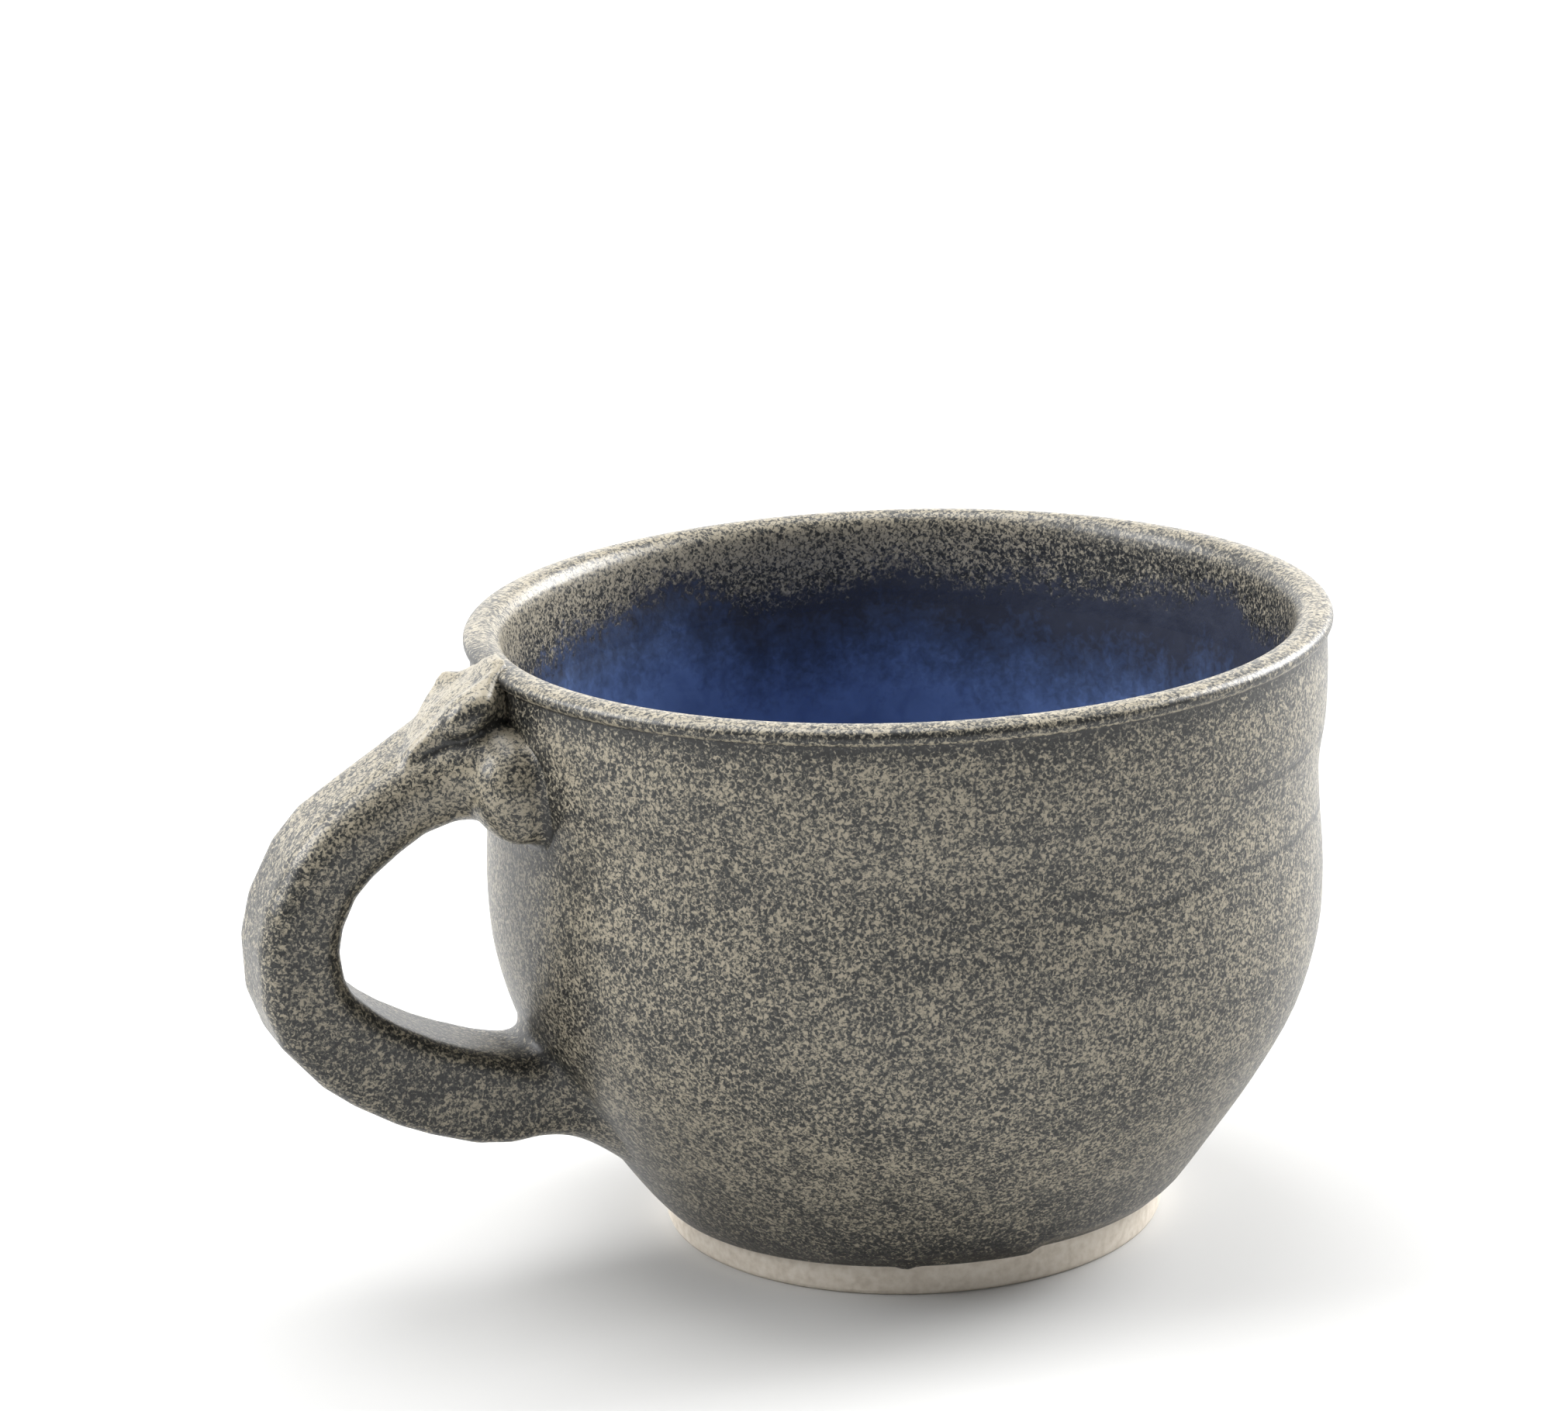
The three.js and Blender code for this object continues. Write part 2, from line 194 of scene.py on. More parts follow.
bare_clay, tree, shader = new_finish("bare_buff_stoneware")
place = tree.nodes.new("ShaderNodeTexCoord").outputs["Object"]
tree.links.new(ramp(tree, noise(tree, place, CLAY_GRAIN, 3.0), CLAY_TONES), shader.inputs["Base Color"])
shader.inputs["Roughness"].default_value = CLAY_ROUGHNESS
marks = noise(tree, place, TURNING_MARKS, 3.0, stretch=TURNING_STRETCH)
relief(tree, shader, marks, TURNING_STRENGTH, TURNING_DEPTH)
thrown_clay.data.materials.append(bare_clay)
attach(thrown_clay, "root")
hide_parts("clay_bowl")

# Clay and slip under the outer glaze
# The pulled handle, its thumb rest and the web in its lower corner are the same clay, luted on with slip.
# The outer glaze hides them all, so they keep their plain solids.

SLIP_TONES = [(0.35, (0.50, 0.43, 0.34)), (0.65, (0.60, 0.53, 0.44))]
SLIP_GRAIN = 1800
SLIP_ROUGHNESS = 0.9

fired_slip, tree, shader = new_finish("fired_joining_slip")
place = tree.nodes.new("ShaderNodeTexCoord").outputs["Object"]
tree.links.new(ramp(tree, noise(tree, place, SLIP_GRAIN), SLIP_TONES), shader.inputs["Base Color"])
shader.inputs["Roughness"].default_value = SLIP_ROUGHNESS
under_glaze = {
    "clay_handle": bare_clay, "thumb_rest": bare_clay, "lower_root_web": bare_clay,
    "upper_slip_joint": fired_slip, "lower_slip_joint": fired_slip,
}
for node, finish in under_glaze.items():
    solid = frame["nodes"][node]
    solid.data.materials.clear()
    solid.data.materials.append(finish)

# Liner glaze
# A cobalt blue glaze poured inside and swirled round, so that it runs down in soft streaks.
# It breaks to near black where the outer glaze laps over it.

LINER_DEPTH = 0.5
LIP_HEIGHT = 0.0555
RUN_SCALE = 75
RUN_STRETCH = (1, 1, 0.2)
RUN_LENGTH = 0.012
FRINGE_SCALE = 1500
FRINGE_LENGTH = 0.007
STREAK_SCALE = 330
STREAK_STRETCH = (1, 1, 0.55)
STREAK_AMOUNT = 0.36
RIGHT_DARKENS = -5.5
BLUE_PER_METRE = 52.0
BLUE_TONES = [(0.36, (0.036, 0.041, 0.06)), (0.56, (0.055, 0.08, 0.15)), (0.85, (0.11, 0.175, 0.36))]
MOTTLE_SCALE = 420
MOTTLE_TONES = [(0.35, (0.78, 0.78, 0.80)), (0.65, (1.0, 1.0, 1.0))]
LINER_ROUGHNESS = 0.38
LINER_GLOSS = 0.2


def sums(tree, operation, *values):
    """One step of arithmetic on sockets and numbers."""
    step = tree.nodes.new("ShaderNodeMath")
    step.operation = operation
    for socket, value in zip(step.inputs, values):
        if isinstance(value, (int, float)):
            socket.default_value = value
        else:
            tree.links.new(value, socket)
    return step.outputs["Value"]


def held(tree, value, least, most):
    """The value kept between two limits."""
    return sums(tree, "MINIMUM", sums(tree, "MAXIMUM", value, least), most)


def axes(tree, place):
    """The X, Y and Z of a place."""
    split = tree.nodes.new("ShaderNodeSeparateXYZ")
    tree.links.new(place, split.inputs["Vector"])
    return split.outputs


def below_lip(tree, place):
    """How far a point lies below the lip in metres, made ragged by the runs of the glaze."""
    drop = sums(tree, "SUBTRACT", LIP_HEIGHT, axes(tree, place)["Z"])
    runs = noise(tree, place, RUN_SCALE, stretch=RUN_STRETCH)
    runs = sums(tree, "MULTIPLY_ADD", runs, RUN_LENGTH, -RUN_LENGTH / 2)
    fringe = noise(tree, place, FRINGE_SCALE, distortion=0.5)
    fringe = sums(tree, "MULTIPLY_ADD", fringe, FRINGE_LENGTH, -FRINGE_LENGTH / 2)
    return sums(tree, "ADD", sums(tree, "ADD", drop, runs), fringe)


def inside_blue(tree, place, drop):
    """The blue of the inside: near black at the top, then cobalt with soft streaks, darker to the right."""
    streaks = noise(tree, place, STREAK_SCALE, 4.0, 0.5, STREAK_STRETCH)
    streaks = sums(tree, "MULTIPLY_ADD", streaks, STREAK_AMOUNT, -STREAK_AMOUNT / 2)
    darker = sums(tree, "MULTIPLY_ADD", axes(tree, place)["X"], RIGHT_DARKENS, streaks)
    run = ramp(tree, sums(tree, "MULTIPLY_ADD", drop, BLUE_PER_METRE, darker), BLUE_TONES)
    shade = ramp(tree, noise(tree, place, MOTTLE_SCALE, 4.0, 0.6), MOTTLE_TONES)
    mottle = tree.nodes.new("ShaderNodeMixRGB")
    mottle.blend_type = "MULTIPLY"
    mottle.inputs["Fac"].default_value = 1.0
    tree.links.new(run, mottle.inputs["Color1"])
    tree.links.new(shade, mottle.inputs["Color2"])
    return mottle.outputs["Color"]


liner = thrown("cobalt_liner", [*well_line, *reversed(inset_line(well_line, LINER_DEPTH)), well_line[0]])
cobalt, tree, shader = new_finish("cobalt_liner_glaze")
place = tree.nodes.new("ShaderNodeTexCoord").outputs["Object"]
tree.links.new(inside_blue(tree, place, below_lip(tree, place)), shader.inputs["Base Color"])
shader.inputs["Roughness"].default_value = LINER_ROUGHNESS
shader.inputs["Specular IOR Level"].default_value = LINER_GLOSS
liner.data.materials.append(cobalt)
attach(liner, "root")
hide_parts("liner_glaze")

# Outer glaze on the bowl
# A satin glaze of tan flecks over slate, dipped over the outside, the lip and the top of the inside.
# It ends in a soft rolled edge just above the foot, breaks pale over edges and pools dark in hollows.
# Painted shade darkens its creases, the band under the bead and the wall round the handle's roots; painted
# light brightens the lip and the top of the handle.

COAT_DEPTH = 0.5
LOW_EDGE = (3.4, 4.8)
DRIP_TURN = 247
DRIP_LENGTH = 0.3
DRIP_WIDTH = 1.6
STEP_TURNS = (274, 276.5, 300, 350)
STEP_HEIGHTS = (0, 0.5, 0.5, 0)
SWAY_HEIGHT = 0.12
SWAY_WAVES = 3
SWAY_FROM = 40
WITHIN_RADIUS = 35.4
INSIDE_RADIUS = 35.6
INSIDE_FROM = 40.0
FLECK_SCALE = 3300
CLUMP_SCALE = 1000
CLUMP_AMOUNT = 0.2
CLOUD_SCALE = 240
CLOUD_AMOUNT = 0.14
RING_SCALE = 420
RING_STRETCH = (0.06, 0.06, 1.0)
RING_AMOUNT = 0.1
TONE_SHIFT = 0.13
POOL_AND_LIGHT_LIMIT = 1.5
POOL_AND_LIGHT_DARKENS = -0.1
THROWING_HEIGHTS = (0.0453, 0.038)
BOWL_RADIUS = 0.0384
WANDER_SCALE = 45
LINE_WANDER = 0.0016
FADE_SCALE = 90
LINE_SHARPNESS = -2000.0
LINES_TO_RIGHT = 16.0
LINE_DARKENS = -0.12
SPECKLE_TONES = [
    (0.45, (0.007, 0.0068, 0.006)), (0.53, (0.0215, 0.0235, 0.0235)), (0.585, (0.085, 0.0785, 0.061)),
    (0.71, (0.32, 0.283, 0.21)),
]
LAP_PER_METRE = 385.0
LAP_FROM = -1.62
OUTSIDE_ROUGHNESS = 0.38
OUTSIDE_GLOSS = 0.56
INSIDE_GLOSS = 0.25
PIT_SCALE = 1500
PIT_RELIEF = 0.6
RING_RELIEF = 1.2
LINE_RELIEF = -0.6
SKIN_STRENGTH = 0.5
SKIN_DEPTH = 0.00016

edge_points = [(23.05, 3.5), (22.92, 3.2), (23.06, 3.0), (23.33, 3.03)]
coat_line = edge_points + glazed_line
bowl_coat = thrown("bowl_coat", [*coat_line, *reversed(inset_line(glazed_line, COAT_DEPTH)), coat_line[0]])

# How much darker the glaze is made at each height, below nothing where it is paler: glaze pooling and
# breaking, with painted shade and painted light
over_foot = [(2.4, 1.2), (3.8, 0.9), (7.0, 0.25), (13.0, 0.0)]
# Under the bead: glaze pooling with painted shade under the overhang, then a pale line along its lower edge,
# thin glaze with a painted highlight
under_bead = [
    (51.5, 0.0), (52.8, 0.35), (53.7, 0.9), (54.02, 1.4), (54.14, -0.6), (54.3, -0.6), (54.45, 0.5),
    (55.0, 0.5),
]
# On top of the lip: paler, thin glaze with painted light from above
lip_top = [(55.25, -0.4), (56.0, -0.4)]
within_lip = [(46.0, 1.1), (50.0, 0.0), (53.0, -0.6), (55.0, -0.6)]
# Inside, darker towards the right side
right_within = ((12.0, 32.0), (0.0, 0.9))
outside_pool_and_light = tuple(zip(*over_foot, *under_bead, *lip_top))
within_tone = tuple(zip(*within_lip))

# The first attribute says how much darker the glaze is made: glaze pooling, with painted shade and painted
# light; the second marks the top of the inside
for name in ("hollow", "inside"):
    bowl_coat.data.attributes.new(name, "FLOAT", "POINT")
hollow = bowl_coat.data.attributes["hollow"].data
inside = bowl_coat.data.attributes["inside"].data
for vertex in bowl_coat.data.vertices:
    x, y, z = vertex.co / MM
    radius = math.hypot(x, y)
    if radius < WITHIN_RADIUS and z > INSIDE_FROM:
        hollow[vertex.index].value = np.interp(z, *within_tone) + np.interp(x, *right_within)
    else:
        hollow[vertex.index].value = np.interp(z, *outside_pool_and_light)
    inside[vertex.index].value = 1.0 if radius < INSIDE_RADIUS and z > INSIDE_FROM else 0.0
    turn = math.degrees(math.atan2(y, x)) % 360
    drip = DRIP_LENGTH * math.exp(-(((turn - DRIP_TURN) / DRIP_WIDTH) ** 2))
    sway = SWAY_HEIGHT * math.sin(math.radians(SWAY_WAVES * turn + SWAY_FROM))
    lift = np.interp(turn, STEP_TURNS, STEP_HEIGHTS) - drip + sway
    vertex.co.z += lift * np.interp(z, LOW_EDGE, (1.0, 0.0)) * MM


def throwing_lines(tree, place, levels):
    """Fine lines left round the wall by the fingers, 1 on a line and 0 off it, fading to the left."""
    where = axes(tree, place)
    flat = tree.nodes.new("ShaderNodeCombineXYZ")
    tree.links.new(where["X"], flat.inputs["X"])
    tree.links.new(where["Y"], flat.inputs["Y"])
    radius = tree.nodes.new("ShaderNodeVectorMath")
    radius.operation = "LENGTH"
    tree.links.new(flat.outputs["Vector"], radius.inputs[0])
    on_bowl = sums(tree, "LESS_THAN", radius.outputs["Value"], BOWL_RADIUS)
    wander = noise(tree, place, WANDER_SCALE)
    wander = sums(tree, "MULTIPLY_ADD", wander, LINE_WANDER, -LINE_WANDER / 2)
    wandering = sums(tree, "ADD", where["Z"], wander)
    lines = 0.0
    for level in levels:
        off = sums(tree, "ABSOLUTE", sums(tree, "SUBTRACT", wandering, level))
        line = sums(tree, "MAXIMUM", sums(tree, "MULTIPLY_ADD", off, LINE_SHARPNESS, 1.0), 0.0)
        lines = sums(tree, "ADD", line, lines)
    faint = sums(tree, "MULTIPLY_ADD", noise(tree, place, FADE_SCALE), 3.0, -1.0)
    faint = sums(tree, "MULTIPLY_ADD", where["X"], LINES_TO_RIGHT, faint)
    return sums(tree, "MULTIPLY", sums(tree, "MULTIPLY", lines, held(tree, faint, 0.0, 1.0)), on_bowl)


speckle, tree, shader = new_finish("speckled_satin_glaze")
place = tree.nodes.new("ShaderNodeTexCoord").outputs["Object"]
pool_and_light_attribute = tree.nodes.new("ShaderNodeAttribute")
pool_and_light_attribute.attribute_name = "hollow"
within = tree.nodes.new("ShaderNodeAttribute")
within.attribute_name = "inside"
rings = noise(tree, place, RING_SCALE, 2.0, stretch=RING_STRETCH)
tone = sums(tree, "MULTIPLY_ADD", rings, RING_AMOUNT, noise(tree, place, FLECK_SCALE, 3.0, 0.8))
tone = sums(tree, "MULTIPLY_ADD", noise(tree, place, CLOUD_SCALE, 3.0), CLOUD_AMOUNT, tone)
tone = sums(tree, "SUBTRACT", tone, TONE_SHIFT)
tone = sums(tree, "MULTIPLY_ADD", noise(tree, place, CLUMP_SCALE, 2.0, 0.6), CLUMP_AMOUNT, tone)
# Darker where the glaze pools and where shade is painted, paler where it breaks thin and where light is
# painted
pool_and_light_amount = held(tree, pool_and_light_attribute.outputs["Fac"], -POOL_AND_LIGHT_LIMIT, POOL_AND_LIGHT_LIMIT)
tone = sums(tree, "MULTIPLY_ADD", pool_and_light_amount, POOL_AND_LIGHT_DARKENS, tone)
grooves = throwing_lines(tree, place, THROWING_HEIGHTS)
tone = sums(tree, "MULTIPLY_ADD", grooves, LINE_DARKENS, tone)
drop = below_lip(tree, place)
lapped = held(tree, sums(tree, "MULTIPLY_ADD", drop, LAP_PER_METRE, LAP_FROM), 0.0, 1.0)
lapped = sums(tree, "MULTIPLY", lapped, within.outputs["Fac"])
blend = tree.nodes.new("ShaderNodeMixRGB")
tree.links.new(lapped, blend.inputs["Fac"])
tree.links.new(ramp(tree, tone, SPECKLE_TONES), blend.inputs["Color1"])
tree.links.new(inside_blue(tree, place, drop), blend.inputs["Color2"])
tree.links.new(blend.outputs["Color"], shader.inputs["Base Color"])
shader.inputs["Roughness"].default_value = OUTSIDE_ROUGHNESS
gloss = sums(tree, "MULTIPLY_ADD", lapped, INSIDE_GLOSS - OUTSIDE_GLOSS, OUTSIDE_GLOSS)
tree.links.new(gloss, shader.inputs["Specular IOR Level"])
skin = sums(tree, "MULTIPLY", rings, RING_RELIEF)
skin = sums(tree, "MULTIPLY_ADD", noise(tree, place, PIT_SCALE), PIT_RELIEF, skin)
skin = sums(tree, "MULTIPLY_ADD", grooves, LINE_RELIEF, skin)
relief(tree, shader, skin, SKIN_STRENGTH, SKIN_DEPTH)
bowl_coat.data.materials.append(speckle)
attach(bowl_coat, "root")
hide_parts("outer_glaze")

# Outer glaze on the handle
# The same glaze over the pulled strap, which is pressed onto the wall with flared lobes at its upper root,
# pinched into a hollow thumb rest under the lip, and smoothed down the wall at its lower root.

VOXEL = 0.3
PATCH_TURN = 50
PATCH_HEIGHTS = (3.4, 51.0)
PATCH_SINK = 0.1
PATCH_DEPTH = 1.0
CORNER_STEPS = 6
BLEND_REACH = 6.5
BLEND_HEIGHTS = ((25.0, 29.0), (1.0, 0.0))
PRESS_HEIGHTS = ((38.0, 41.0, 49.0, 51.5), (0.0, 1.0, 1.0, 0.0))
SMOOTHING = 0.5
BLEND_ROUNDS = 160
PRESS_ROUNDS = 60
SOFTEN_ROUNDS = 6
# Creases on the handle darken with glaze pooling and painted shade; sharp edges are paler where the glaze
# breaks
CREASE_SPREAD = 10
CREASE_UNIT = 0.07
HOLLOW_FROM = 0.2
EDGE_FROM = 1.5
# Painted shade on the lower strap and painted light on its top
STRAP_PAINTED_LIGHT = ((38.0, 46.0), (0.3, -0.35))
# Upward faces of the thumb rest paler: thinner glaze there, with painted light
PAD_THIN_GLAZE_AND_LIGHT = 0.6
PAD_TOP_HEIGHTS = ((49.5, 50.5), (0.0, 1.0))
PAD_TOP_SLOPES = ((0.5, 0.7), (0.0, 1.0))
# Painted shade under the near edge of the thumb rest, fading out from the bulge there
BULGE = (40.8, 5.6, 52.2)
SHADE_UNDER_BULGE = ((2.2, 3.2), (1.1, 0.0))
# Painted shade on the bowl's wall round the handle's roots, where the handle stands off the wall
ROOT_RISE = 0.4
ROOT_SHADE_REACH = 3.5

strap_stations = [
    # out, up, tilt in degrees, thick, wide, share of the corner that is rounded
    (35.4, 46.7, 90, 8.8, 18.8, 0.46),
    (37.2, 46.7, 92, 8.8, 19.0, 0.46),
    (39.2, 46.9, 96, 8.7, 17.6, 0.46),
    (41.2, 46.8, 103, 8.1, 14.6, 0.48),
    (43.2, 46.25, 110, 7.5, 12.2, 0.48),
    (46.2, 44.9, 118, 7.0, 10.8, 0.48),
    (48.7, 43.4, 122, 7.0, 10.5, 0.45),
    (51.7, 41.4, 131, 7.0, 10.5, 0.38),
    (53.7, 39.3, 143, 6.9, 10.5, 0.37),
    (55.5, 35.9, 160, 7.0, 10.5, 0.36),
    (56.2, 33.0, 174, 7.1, 10.5, 0.34),
    (56.0, 29.3, 192, 7.4, 10.5, 0.31),
    (55.0, 26.7, 211, 7.6, 10.5, 0.28),
    (52.4, 23.8, 229, 7.9, 10.5, 0.24),
    (50.2, 22.1, 237, 8.0, 10.5, 0.22),
    (46.9, 20.1, 242, 8.1, 10.5, 0.20),
    (44.3, 18.9, 247, 8.1, 10.5, 0.20),
    (40.7, 17.6, 253, 8.1, 10.5, 0.20),
    (37.9, 17.1, 258, 7.9, 10.5, 0.22),
    (36.2, 17.1, 264, 7.6, 10.5, 0.26),
    (34.9, 17.0, 273, 7.9, 10.8, 0.32),
    (33.9, 16.8, 283, 8.8, 11.4, 0.38),
    (33.2, 16.5, 291, 10.4, 12.4, 0.42),
    (32.5, 16.2, 296, 13.0, 13.6, 0.45),
    (31.4, 15.8, 298, 16.0, 15.0, 0.48),
    (30.2, 15.6, 298, 17.0, 16.0, 0.48),
]
lumps = [
    # out, across to the right of the handle, up, long, wide, deep, slope in degrees
    # the lobes where the upper root is pressed onto the wall
    (37.7, 6.5, 45.9, 3.7, 4.0, 4.6, 8),
    (37.7, -6.5, 45.9, 3.7, 4.0, 4.6, 8),
    (37.2, 6.8, 42.9, 2.8, 3.2, 1.7, 0),
    (37.2, -6.8, 42.9, 2.8, 3.2, 1.7, 0),
    # the bulge under the near edge of the thumb rest
    (40.7, 5.0, 52.6, 2.8, 2.0, 1.7, 32),
    # the web worked into the corner over the lower root
    (34.4, 0.0, 19.9, 2.4, 4.4, 2.4, 0),
]
thumb_rings = [
    # out, then (across, up) round the ring: far side, hollow, near ridge, near side
    (36.6, [(-3.6, 50), (-3.9, 52.5), (-3, 54.2), (-1.6, 55.5), (0.2, 56.2),
            (2, 56.3), (3, 56), (3.6, 54.6), (3.8, 52.5), (3.6, 50)]),
    (37.6, [(-4.2, 49.5), (-5, 52), (-4.2, 53.6), (-2.2, 55.1), (0.2, 55.9),
            (2.2, 56.1), (3.3, 55.9), (4.6, 54.4), (4.9, 52.6), (4.2, 49.5)]),
    (38.8, [(-4.4, 48.5), (-5.6, 51.6), (-4.6, 53.6), (-2.4, 54), (0.2, 54.35),
            (2.2, 54.5), (4.2, 55.3), (5.6, 54.2), (6, 52.6), (4.4, 48.5)]),
    (40.2, [(-4.4, 48), (-5.9, 51.4), (-4.9, 53.9), (-2.3, 53.3), (0.2, 53.7),
            (2.2, 53.8), (4.5, 54.7), (6, 53.2), (6.1, 51.8), (4.4, 48)]),
    (41.6, [(-4.2, 47.5), (-5.2, 50.4), (-4.7, 52.1), (-2.2, 52.45), (0.2, 52.85),
            (2.2, 52.9), (4.6, 53.7), (5.9, 52.4), (5.8, 51.3), (4.2, 47.5)]),
    (43.4, [(-3.8, 47), (-4.1, 48.7), (-3.5, 50.1), (-2, 51.05), (0.2, 51.5),
            (2.2, 51.6), (4.5, 52.3), (5.2, 51.3), (4.8, 50.3), (3.8, 47)]),
    (45.2, [(-3.2, 46), (-3.4, 47.7), (-2.8, 48.4), (-1.6, 48.9), (0.2, 49.4),
            (2, 49.8), (3.7, 50.5), (4.4, 49.8), (4.2, 49), (3.2, 46)]),
    (47.4, [(-2.8, 45.2), (-2.9, 46.3), (-2.2, 46.8), (-1.2, 46.9), (0.2, 47.1),
            (1.6, 47.3), (2.8, 47.5), (3.3, 47.1), (3.2, 46.5), (2.8, 45.2)]),
]


def close_rings():
    """Joins the rings that show into one closed body, and hides it while the next is drawn."""
    bpy.ops.mesh.select_all(action="SELECT")
    bpy.ops.mesh.bridge_edge_loops()
    bpy.ops.mesh.select_all(action="SELECT")
    bpy.ops.mesh.fill_holes(sides=0)
    bpy.ops.mesh.select_all(action="SELECT")
    bpy.ops.mesh.normals_make_consistent(inside=False)
    bpy.ops.mesh.hide()


wall_line = [point for point in outside_line if PATCH_HEIGHTS[0] < point[1] < PATCH_HEIGHTS[1]]
patch_face = inset_line(wall_line, PATCH_SINK)
patch_back = inset_line(wall_line, PATCH_SINK + PATCH_DEPTH)
handle_coat = thrown("handle_coat", [*patch_face, *reversed(patch_back), patch_face[0]], PATCH_TURN)
bpy.ops.object.mode_set(mode="EDIT")
bpy.ops.mesh.select_all(action="SELECT")
bpy.ops.transform.rotate(
    value=-math.radians(180 + PATCH_TURN / 2), orient_axis="Z", center_override=(0, 0, 0),
)
bpy.ops.mesh.fill_holes(sides=0)
bpy.ops.mesh.select_all(action="SELECT")
bpy.ops.mesh.normals_make_consistent(inside=False)
bpy.ops.mesh.hide()
for out, up, tilt, thick, wide, corner in strap_stations:
    bpy.ops.mesh.select_all(action="DESELECT")
    bpy.ops.mesh.primitive_plane_add(size=MM, location=(0, 0, 0))
    bpy.ops.transform.resize(value=(thick, wide, 1.0), center_override=(0, 0, 0))
    bpy.ops.mesh.bevel(affect="VERTICES", offset=corner * min(thick, wide) * MM, segments=CORNER_STEPS)
    bpy.ops.transform.rotate(value=math.radians(tilt), orient_axis="Y", center_override=(0, 0, 0))
    bpy.ops.transform.translate(value=(-out * MM, 0, up * MM))
    bpy.ops.mesh.delete(type="ONLY_FACE")
close_rings()
for out, ring in thumb_rings:
    bpy.ops.mesh.select_all(action="DESELECT")
    bpy.ops.mesh.primitive_plane_add(size=MM, location=(0, 0, 0))
    bpy.ops.mesh.merge(type="CENTER")
    bpy.ops.transform.translate(value=(-out * MM, -ring[0][0] * MM, ring[0][1] * MM))
    for (n0, z0), (n1, z1) in zip(ring, ring[1:]):
        move = (0, (n0 - n1) * MM, (z1 - z0) * MM)
        bpy.ops.mesh.extrude_vertices_move(TRANSFORM_OT_translate={"value": move})
    bpy.ops.mesh.select_linked()
    bpy.ops.mesh.edge_face_add()
    bpy.ops.mesh.delete(type="ONLY_FACE")
close_rings()
for out, across, up, long, wide, deep, slope in lumps:
    bpy.ops.mesh.primitive_uv_sphere_add(
        segments=40, ring_count=20, radius=1.0, location=(-out * MM, -across * MM, up * MM),
        rotation=(0, -math.radians(slope), 0), scale=(long * MM, wide * MM, deep * MM),
    )
bpy.ops.mesh.reveal()
bpy.ops.object.mode_set(mode="OBJECT")
knead = handle_coat.modifiers.new("knead", "REMESH")
knead.mode = "VOXEL"
knead.voxel_size = VOXEL * MM
bpy.ops.object.modifier_apply(modifier="knead")

wall_radii, wall_heights = zip(*wall_line)


def off_wall(point):
    """How far a point stands off the bowl's wall, in millimetres."""
    x, y, z = point / MM
    return math.hypot(x, y) - np.interp(z, wall_heights, wall_radii)


blended = handle_coat.vertex_groups.new(name="blended")
pressed = handle_coat.vertex_groups.new(name="pressed")
for vertex in handle_coat.data.vertices:
    z = vertex.co.z / MM
    near = np.interp(off_wall(vertex.co), (0.0, BLEND_REACH), (1.0, 0.0))
    blended.add([vertex.index], near * np.interp(z, *BLEND_HEIGHTS), "REPLACE")
    pressed.add([vertex.index], near * np.interp(z, *PRESS_HEIGHTS), "REPLACE")
smoothings = [
    ("blend", BLEND_ROUNDS, "blended"), ("press", PRESS_ROUNDS, "pressed"), ("soften", SOFTEN_ROUNDS, ""),
]
for name, rounds, group in smoothings:
    soften = handle_coat.modifiers.new(name, "SMOOTH")
    soften.factor = SMOOTHING
    soften.iterations = rounds
    soften.vertex_group = group
    bpy.ops.object.modifier_apply(modifier=name)
bpy.ops.object.shade_smooth()


def hollows(mesh, spread):
    """How deep in a crease each vertex lies, in steps of a set depth; less than nothing on a sharp edge. The
    depth stands for glaze pooling and for painted shade.
    """
    count = len(mesh.vertices)
    points = np.empty(count * 3)
    normals = np.empty(count * 3)
    ends = np.empty(len(mesh.edges) * 2, dtype=np.int32)
    mesh.vertices.foreach_get("co", points)
    mesh.vertices.foreach_get("normal", normals)
    mesh.edges.foreach_get("vertices", ends)
    points = points.reshape(-1, 3)
    one, other = ends.reshape(-1, 2).T
    share = np.bincount(ends, minlength=count)[:, None]
    level = points.copy()
    for _ in range(spread):
        around = np.zeros_like(level)
        np.add.at(around, one, level[other])
        np.add.at(around, other, level[one])
        level = around / share
    depth = ((level - points) * normals.reshape(-1, 3)).sum(axis=1) / (CREASE_UNIT * MM)
    return np.maximum(depth - HOLLOW_FROM, 0.0) + np.minimum(depth + EDGE_FROM, 0.0)


# The handle's glaze: glaze pooling with painted shade in its creases, paler where it breaks over sharp edges
strap_pool_and_light = hollows(handle_coat.data, CREASE_SPREAD)
roots = KDTree(len(handle_coat.data.vertices))
for vertex in handle_coat.data.vertices:
    x, y, z = vertex.co / MM
    # Upward faces of the thumb rest: thinner glaze, with painted light
    pad_top = np.interp(z, *PAD_TOP_HEIGHTS) * np.interp(vertex.normal.z, *PAD_TOP_SLOPES)
    # Painted shade under the near edge of the thumb rest
    bulge_shade = np.interp(math.dist((-x, -y, z), BULGE), *SHADE_UNDER_BULGE)
    # Adds painted shade low on the strap and painted light on its top
    strap_pool_and_light[vertex.index] += np.interp(z, *STRAP_PAINTED_LIGHT) - PAD_THIN_GLAZE_AND_LIGHT * pad_top + bulge_shade * (1.0 - pad_top)
    if off_wall(vertex.co) > ROOT_RISE:
        roots.insert(vertex.co, vertex.index)
roots.balance()
handle_coat.data.attributes.new("hollow", "FLOAT", "POINT").data.foreach_set("value", strap_pool_and_light)
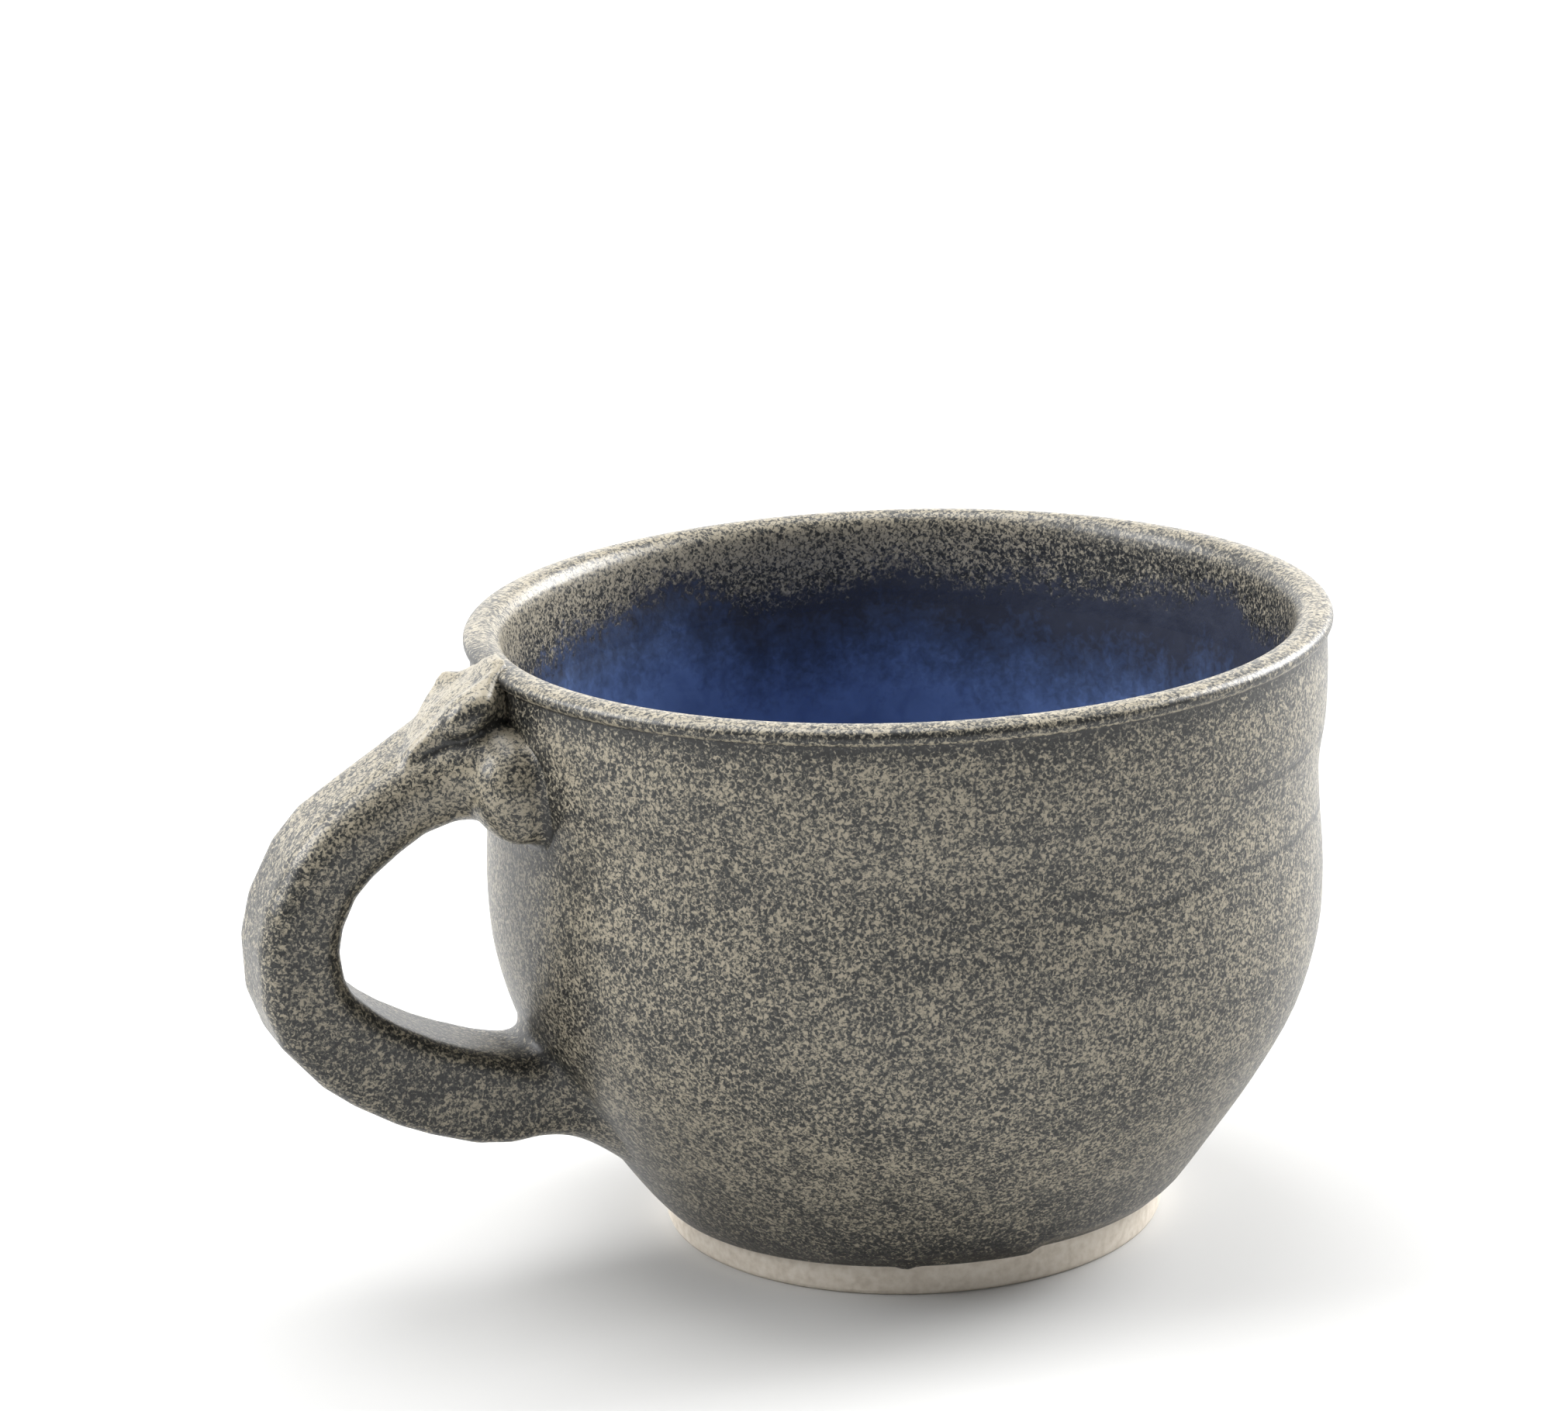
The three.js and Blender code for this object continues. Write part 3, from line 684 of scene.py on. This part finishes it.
# Painted shade on the bowl's wall round the handle's roots
wall_pool_and_light = bowl_coat.data.attributes["hollow"].data
for vertex in bowl_coat.data.vertices:
    _, _, gap = roots.find(vertex.co)
    wall_pool_and_light[vertex.index].value += max(1.0 - gap / (ROOT_SHADE_REACH * MM), 0.0)
handle_coat.data.materials.append(speckle)
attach(handle_coat, "root")
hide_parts("outer_glaze")

# Floor, light and camera
# A plain white floor, with large soft lamps on both sides and above.
# The studio round it is bright behind the cup and dark in front, which gives the glaze its edge of light.

FLOOR_SIZE = 6.0
PAPER = (0.61, 0.61, 0.605, 1.0)
PAPER_ROUGHNESS = 0.9
AIM = (0, 0, 0.03)
FRONT_LEVEL = 0.33
BACK_LEVEL = 1.75
BACK_OF_STUDIO = (0.47, 0.88, 0.0)
BACK_EDGE = (8.0, -2.37)
LOW_EDGE_OF_STUDIO = (-2.9, 2.15)
LENS = 106.8
SENSOR = 36.0
CAMERA_PLACE = (-0.14149, -0.3686, 0.15974)
CAMERA_TURN = (74.056, 1.992, -20.092)

bpy.ops.object.select_all(action="DESELECT")
bpy.ops.mesh.primitive_plane_add(size=FLOOR_SIZE, location=(0, 0, 0))
floor = bpy.context.object
floor.name = "floor"
paper, tree, shader = new_finish("white_paper")
shader.inputs["Base Color"].default_value = PAPER
shader.inputs["Roughness"].default_value = PAPER_ROUGHNESS
floor.data.materials.append(paper)


def softbox(name, place, size, power):
    """A large square lamp at a place, aimed at the cup."""
    lamp = bpy.data.lights.new(name, "AREA")
    lamp.shape = "SQUARE"
    lamp.size = size
    lamp.energy = power
    box = bpy.data.objects.new(name, lamp)
    bpy.context.collection.objects.link(box)
    box.location = place
    box.rotation_euler = (Vector(AIM) - Vector(place)).to_track_quat("-Z", "Y").to_euler()


softbox("left_softbox", (-0.95, 0.35, 0.75), 0.8, 18.0)
softbox("right_softbox", (1.05, 0.2, 0.65), 0.8, 27.0)
softbox("top_softbox", (-0.1, 0.35, 1.2), 0.9, 12.0)

world = bpy.data.worlds.new("white_studio")
bpy.context.scene.world = world
world.use_nodes = True
tree = world.node_tree
rays = tree.nodes.new("ShaderNodeLightPath").outputs["Is Camera Ray"]
sky = tree.nodes.new("ShaderNodeTexCoord").outputs["Generated"]
facing = tree.nodes.new("ShaderNodeVectorMath")
facing.operation = "DOT_PRODUCT"
facing.inputs[1].default_value = BACK_OF_STUDIO
tree.links.new(sky, facing.inputs[0])
level = held(tree, sums(tree, "MULTIPLY_ADD", facing.outputs["Value"], *BACK_EDGE), 0.0, BACK_LEVEL)
low = held(tree, sums(tree, "MULTIPLY_ADD", axes(tree, sky)["Z"], *LOW_EDGE_OF_STUDIO), 0.0, 1.0)
level = sums(tree, "MULTIPLY_ADD", level, low, FRONT_LEVEL)
# The camera itself sees plain white
seen = sums(tree, "MULTIPLY", level, sums(tree, "SUBTRACT", 1.0, rays))
background = tree.nodes["Background"]
background.inputs["Color"].default_value = (1, 1, 1, 1)
tree.links.new(sums(tree, "ADD", seen, rays), background.inputs["Strength"])

lens = bpy.data.cameras.new("photo_lens")
camera = bpy.data.objects.new("photo_camera", lens)
bpy.context.collection.objects.link(camera)
lens.lens = LENS
lens.sensor_width = SENSOR
camera.location = CAMERA_PLACE
camera.rotation_euler = [math.radians(angle) for angle in CAMERA_TURN]
bpy.context.scene.camera = camera
bpy.context.scene.view_settings.view_transform = "Standard"
